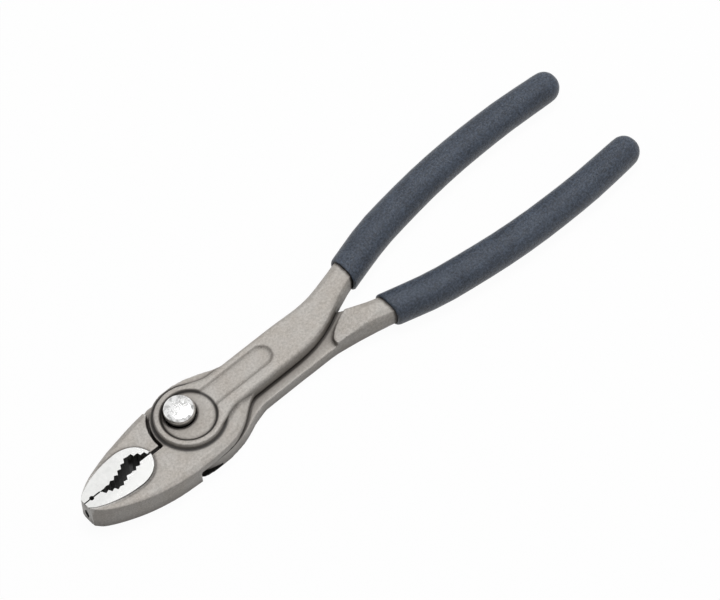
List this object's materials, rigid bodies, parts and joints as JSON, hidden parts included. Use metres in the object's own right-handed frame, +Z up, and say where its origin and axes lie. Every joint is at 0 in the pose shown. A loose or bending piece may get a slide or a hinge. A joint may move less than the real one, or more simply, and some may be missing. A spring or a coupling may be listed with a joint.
{
  "type": "slip joint pliers",
  "caption": "Slim slip joint pliers with a lap joint, a push button for the jaw width, toothed jaws and dipped grips.",
  "frame": {"origin": "centre of the bounding box at the level of the lowest faces, with the tool lying flat", "axes": "+X from the jaw tip to the handle ends, +Y to the front lever's handle, +Z up through the joint to the button"},
  "size_m": [0.2, 0.0462, 0.0125],
  "materials": {
    "forged_steel": "satin, blasted and nickel plated",
    "dipped_vinyl": "fine mottled texture, soft sheen",
    "plated_steel": "polished",
    "spring_steel": "plain"
  },
  "bodies": {
    "front": {"front_lever": "forged_steel", "front_grip": "dipped_vinyl"},
    "pivot": {"spring_seat": "spring_steel", "button_spring": "spring_steel"},
    "rear": {"rear_lever": "forged_steel", "rear_grip": "dipped_vinyl"},
    "button": {"push_button": "plated_steel", "joint_bolt": "plated_steel", "lock_collar": "spring_steel", "retaining_ring": "spring_steel"}
  },
  "joints": [
    {"name": "jaw_pivot", "type": "hinge", "parent": "front", "child": "pivot", "pos_m": [-0.0621, 0.0042, 0.005], "axis": [0, 0, -1], "range_deg": [0, 25]},
    {"name": "slip_adjust", "type": "hinge", "parent": "pivot", "child": "rear", "pos_m": [-0.008, 0, 0.005], "axis": [0, 0, -1], "range_deg": [0, 8.2]},
    {"name": "button_press", "type": "slide", "parent": "pivot", "child": "button", "axis": [0, 0, -1], "range_m": [0, 0.0014], "stiffness_N_per_m": 3000, "springref_m": -0.0015, "deforming": ["button_spring"]}
  ]
}
